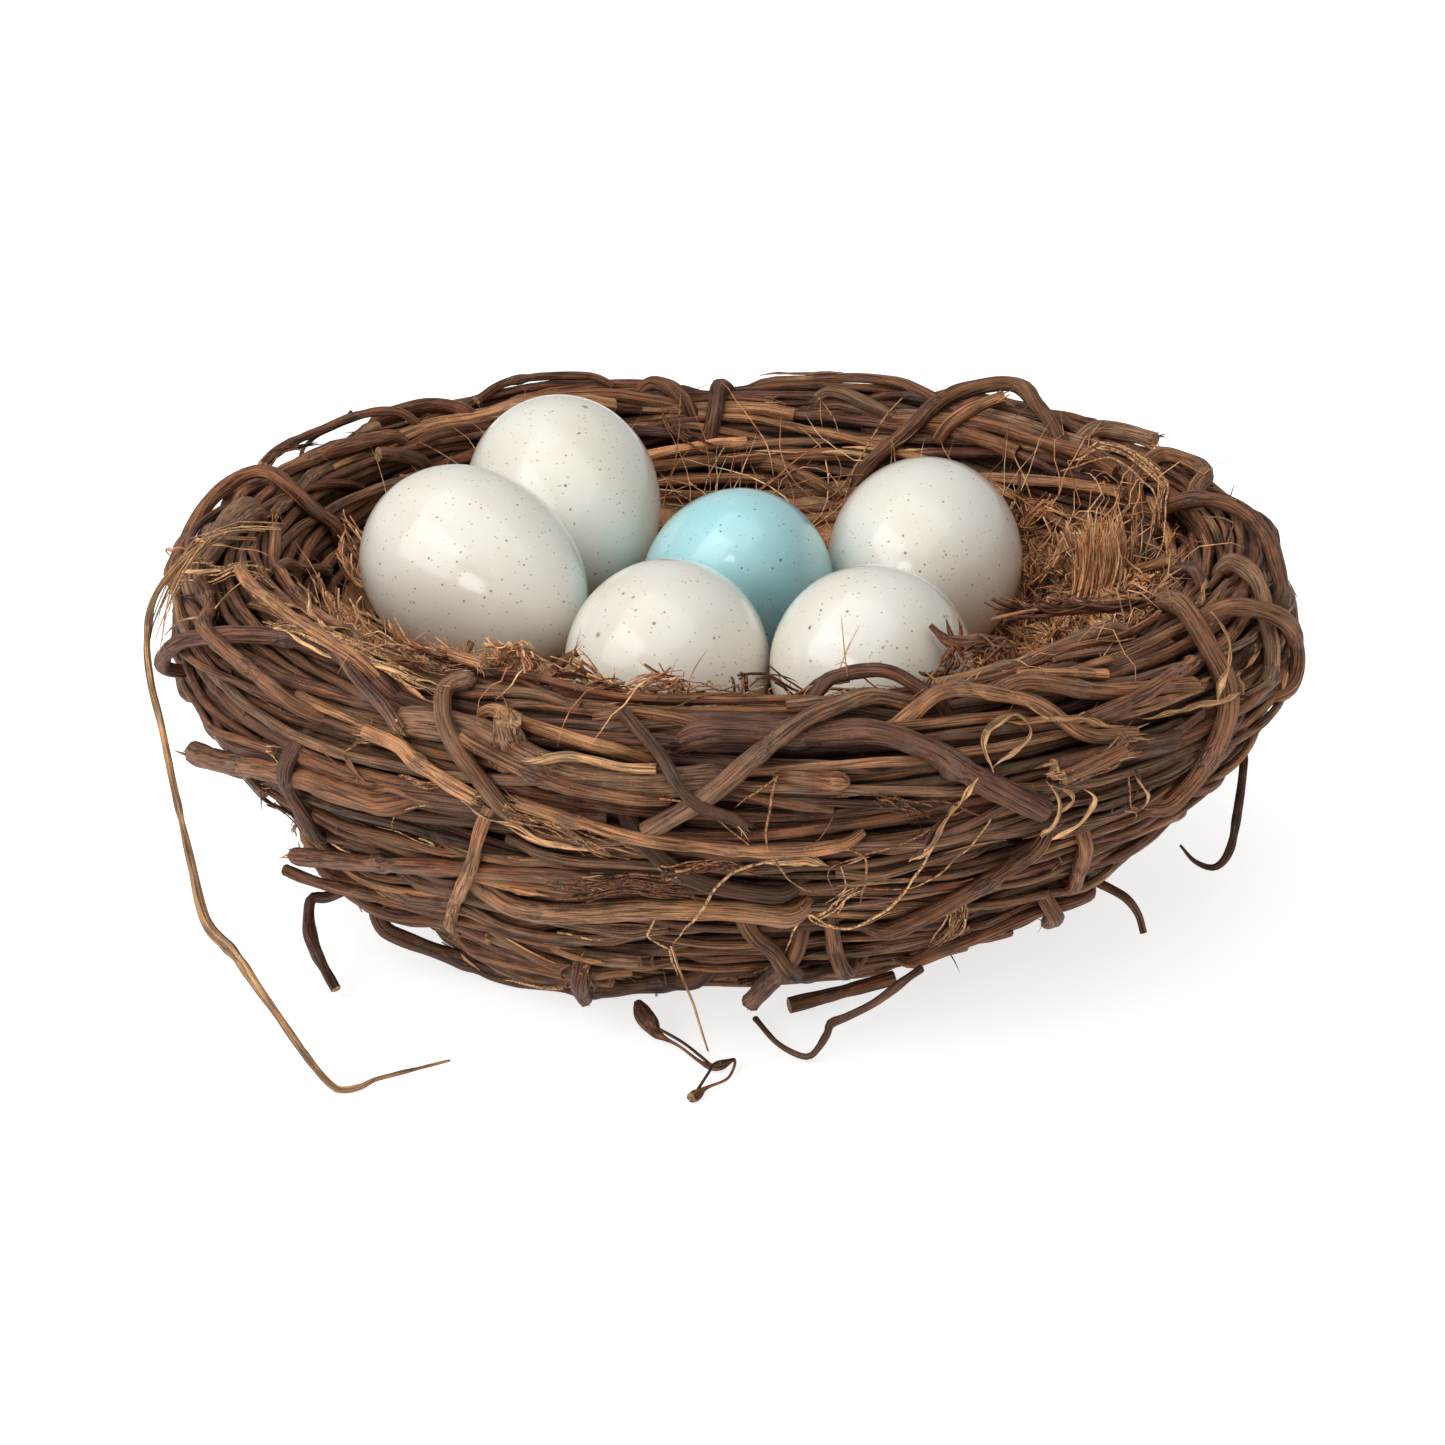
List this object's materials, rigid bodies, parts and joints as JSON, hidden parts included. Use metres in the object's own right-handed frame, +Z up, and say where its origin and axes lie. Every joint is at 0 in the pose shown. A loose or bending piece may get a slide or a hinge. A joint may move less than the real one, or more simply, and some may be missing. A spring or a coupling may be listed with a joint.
{
  "type": "bird nest with eggs",
  "caption": "Round bird nest of wound grapevine with a coir-lined hollow, loose twigs and straws, holding cream and turquoise speckled eggs.",
  "frame": {"origin": "middle of the flat base, on the surface that the nest stands on", "axes": "+Z up, -Y towards the side that the picture shows, +X to that side's right"},
  "size_m": [0.2437, 0.2513, 0.0949],
  "materials": {
    "wound_vines": "rough bark, grooved along each vine",
    "dark_bark": "dark bark, matt with a faint sheen",
    "brown_bark": "mid-brown bark, grooved",
    "red_bark": "red-brown bark, smooth",
    "grey_bark": "weathered grey-brown bark, ridged",
    "tan_bark": "bare tan wood with bark worn off",
    "straw": "dry straw, matt",
    "coir": "loose coconut fibre",
    "cream_glaze": "glossy cream with fine brown speckles",
    "blue_glaze": "glossy turquoise with fine dark speckles"
  },
  "bodies": {
    "root": {"back_arch": "brown_bark", "back_binder": "brown_bark", "back_left_arch": "red_bark", "back_loop": "brown_bark", "back_right_rod": "grey_bark", "back_sweep": "tan_bark", "base_loop": "dark_bark", "big_diagonal": "grey_bark", "broken_stick": "red_bark", "crest_left": "brown_bark", "cut_stick": "tan_bark", "dark_bundle": "dark_bark", "dark_diagonal": "dark_bark", "dark_stick": "red_bark", "egg_back_left": "cream_glaze", "egg_blue": "blue_glaze", "egg_front": "cream_glaze", "egg_front_right": "cream_glaze", "egg_left": "cream_glaze", "egg_right": "cream_glaze", "fibre_tuft": "coir", "front_arch": "brown_bark", "front_binder": "grey_bark", "front_tendril": "dark_bark", "inner_back_diagonal": "brown_bark", "inner_left_dark": "dark_bark", "inner_left_rod": "brown_bark", "inner_right_rod": "dark_bark", "knotted_vine": "grey_bark", "knotty_vine": "grey_bark", "left_back_sweep": "brown_bark", "left_binder": "dark_bark", "left_stub": "red_bark", "left_tendril": "dark_bark", "lining": "coir", "long_straw": "straw", "low_back_rod": "red_bark", "low_right_rod": "brown_bark", "low_rod": "brown_bark", "low_upright": "red_bark", "outer_back_binder": "grey_bark", "over_left_rim": "red_bark", "pale_arch": "tan_bark", "pod_tendril": "dark_bark", "right_back_diagonal": "dark_bark", "right_binder": "brown_bark", "right_end": "grey_bark", "right_hook": "brown_bark", "right_loop_back": "brown_bark", "right_loop_front": "brown_bark", "right_loop_low": "grey_bark", "right_loop_top": "brown_bark", "right_tendril": "dark_bark", "rim_hook_left": "brown_bark", "runner": "brown_bark", "short_stick": "tan_bark", "split_vine": "tan_bark", "thick_arc": "brown_bark", "wavy_vine": "tan_bark", "woven_wall": "wound_vines"}
  },
  "joints": []
}
